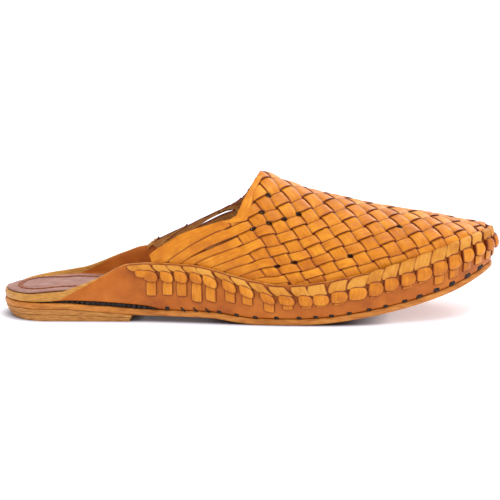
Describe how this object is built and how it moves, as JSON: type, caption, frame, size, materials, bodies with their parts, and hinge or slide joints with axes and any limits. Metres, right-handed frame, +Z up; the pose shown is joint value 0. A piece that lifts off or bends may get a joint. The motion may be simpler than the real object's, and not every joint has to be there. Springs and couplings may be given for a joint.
{
  "type": "woven leather mule",
  "caption": "Flat slip-on mule for the right foot: woven leather upper with loose side strips, turned-up insole edged with lacing, thin leather sole and low stacked heel.",
  "frame": {"origin": "on the floor, under the centre of the shoe's bounding box", "axes": "+X from the heel to the toe, +Y to the inner side of the foot, +Z up"},
  "size_m": [0.2678, 0.0912, 0.0776],
  "materials": {
    "sole_leather": "raw cut edge, dull",
    "side_leather": "smooth vegetable-tanned leather, soft sheen",
    "sock_leather": "unfinished lining leather, dull",
    "strip_leather": "smooth waxed leather strips, satin"
  },
  "bodies": {
    "root": {"outsole": "sole_leather", "heel_lift_lower": "sole_leather", "heel_lift_upper": "sole_leather", "insole": "side_leather", "sock": "sock_leather", "lacing": "strip_leather", "upper": "strip_leather"}
  },
  "joints": []
}
